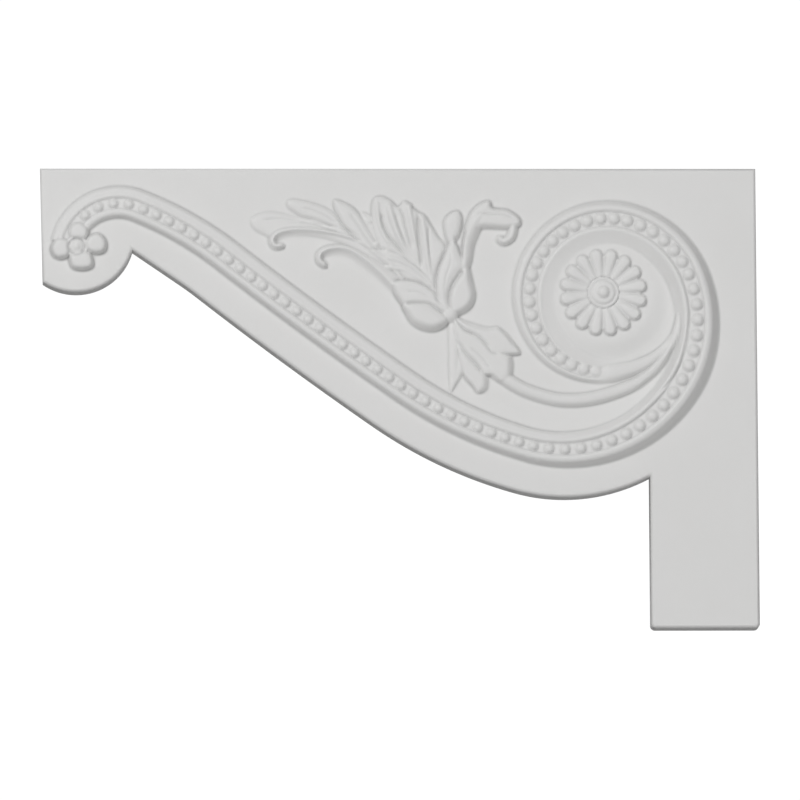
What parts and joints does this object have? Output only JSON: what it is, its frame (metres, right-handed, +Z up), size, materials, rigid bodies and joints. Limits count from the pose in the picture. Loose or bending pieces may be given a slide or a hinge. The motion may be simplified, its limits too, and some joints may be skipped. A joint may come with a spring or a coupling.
{
  "type": "stair bracket",
  "caption": "Flat-backed moulded bracket for the side of a stair, with a beaded scroll, a rosette in its volute, a leaf spray and a square foot.",
  "frame": {"origin": "on the flat back at mid-width, 60 mm below the top edge, where the bracket is glued to the side of the stair", "axes": "-Y out of the carved front, +Y into the stair, +Z up, +X towards the riser side with the foot"},
  "size_m": [0.3, 0.0159, 0.194],
  "materials": {
    "primer": "matte white factory primer over moulded urethane foam"
  },
  "bodies": {
    "root": {"bracket": "primer"}
  },
  "joints": []
}
